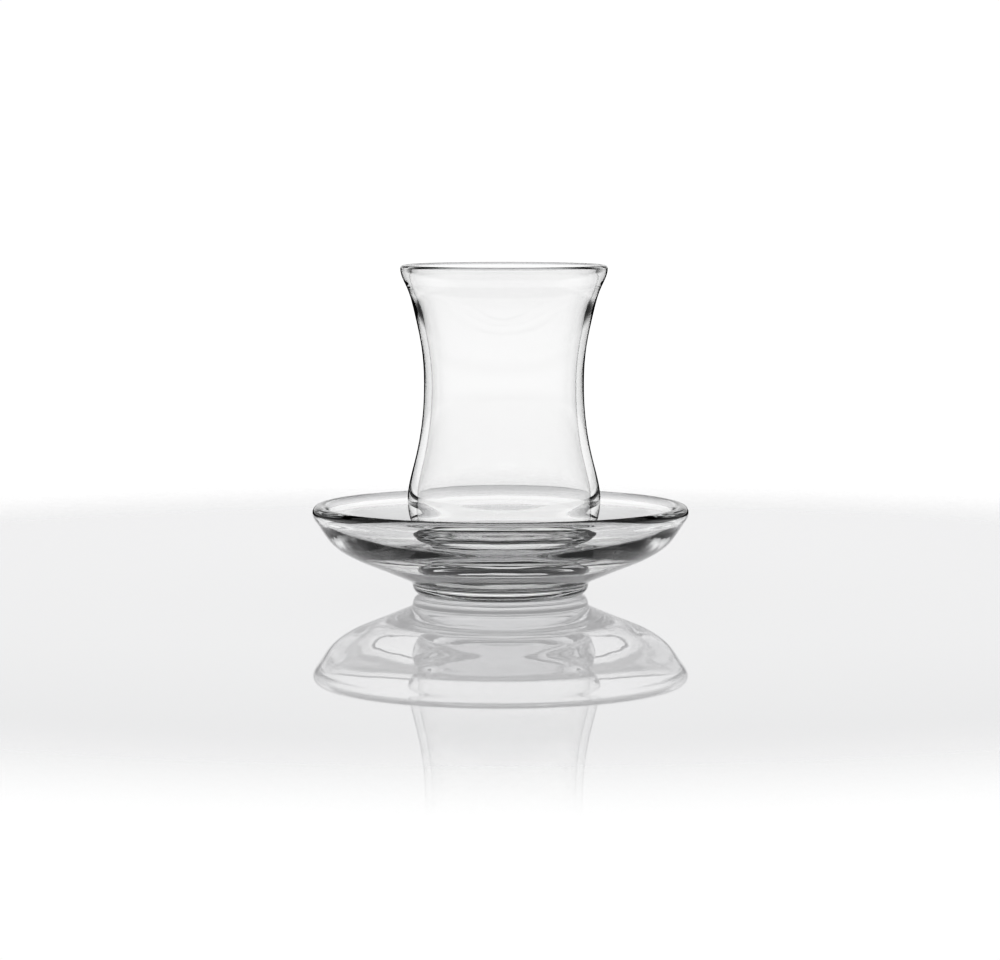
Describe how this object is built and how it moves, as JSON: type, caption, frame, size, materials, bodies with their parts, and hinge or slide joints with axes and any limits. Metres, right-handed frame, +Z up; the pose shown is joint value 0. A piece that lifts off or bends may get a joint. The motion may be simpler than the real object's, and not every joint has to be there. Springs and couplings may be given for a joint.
{
  "type": "turkish tea glass",
  "caption": "Empty waisted clear tea glass with a thick base, standing in a shallow footed glass saucer.",
  "frame": {"origin": "middle of the saucer's foot, on the surface it stands on", "axes": "+Z up along the saucer's axis; -Y faces the viewer of the picture; +X to the viewer's right, where the tea glass stands 1 mm off the middle"},
  "size_m": [0.104, 0.104, 0.091],
  "materials": {
    "saucer_glass": "clear pressed glass, fire-polished, smooth and glossy",
    "tea_glass_clear": "clear glass, fire-polished rim, smooth and glossy"
  },
  "bodies": {
    "root": {"saucer": "saucer_glass", "tea_glass": "tea_glass_clear"}
  },
  "joints": []
}
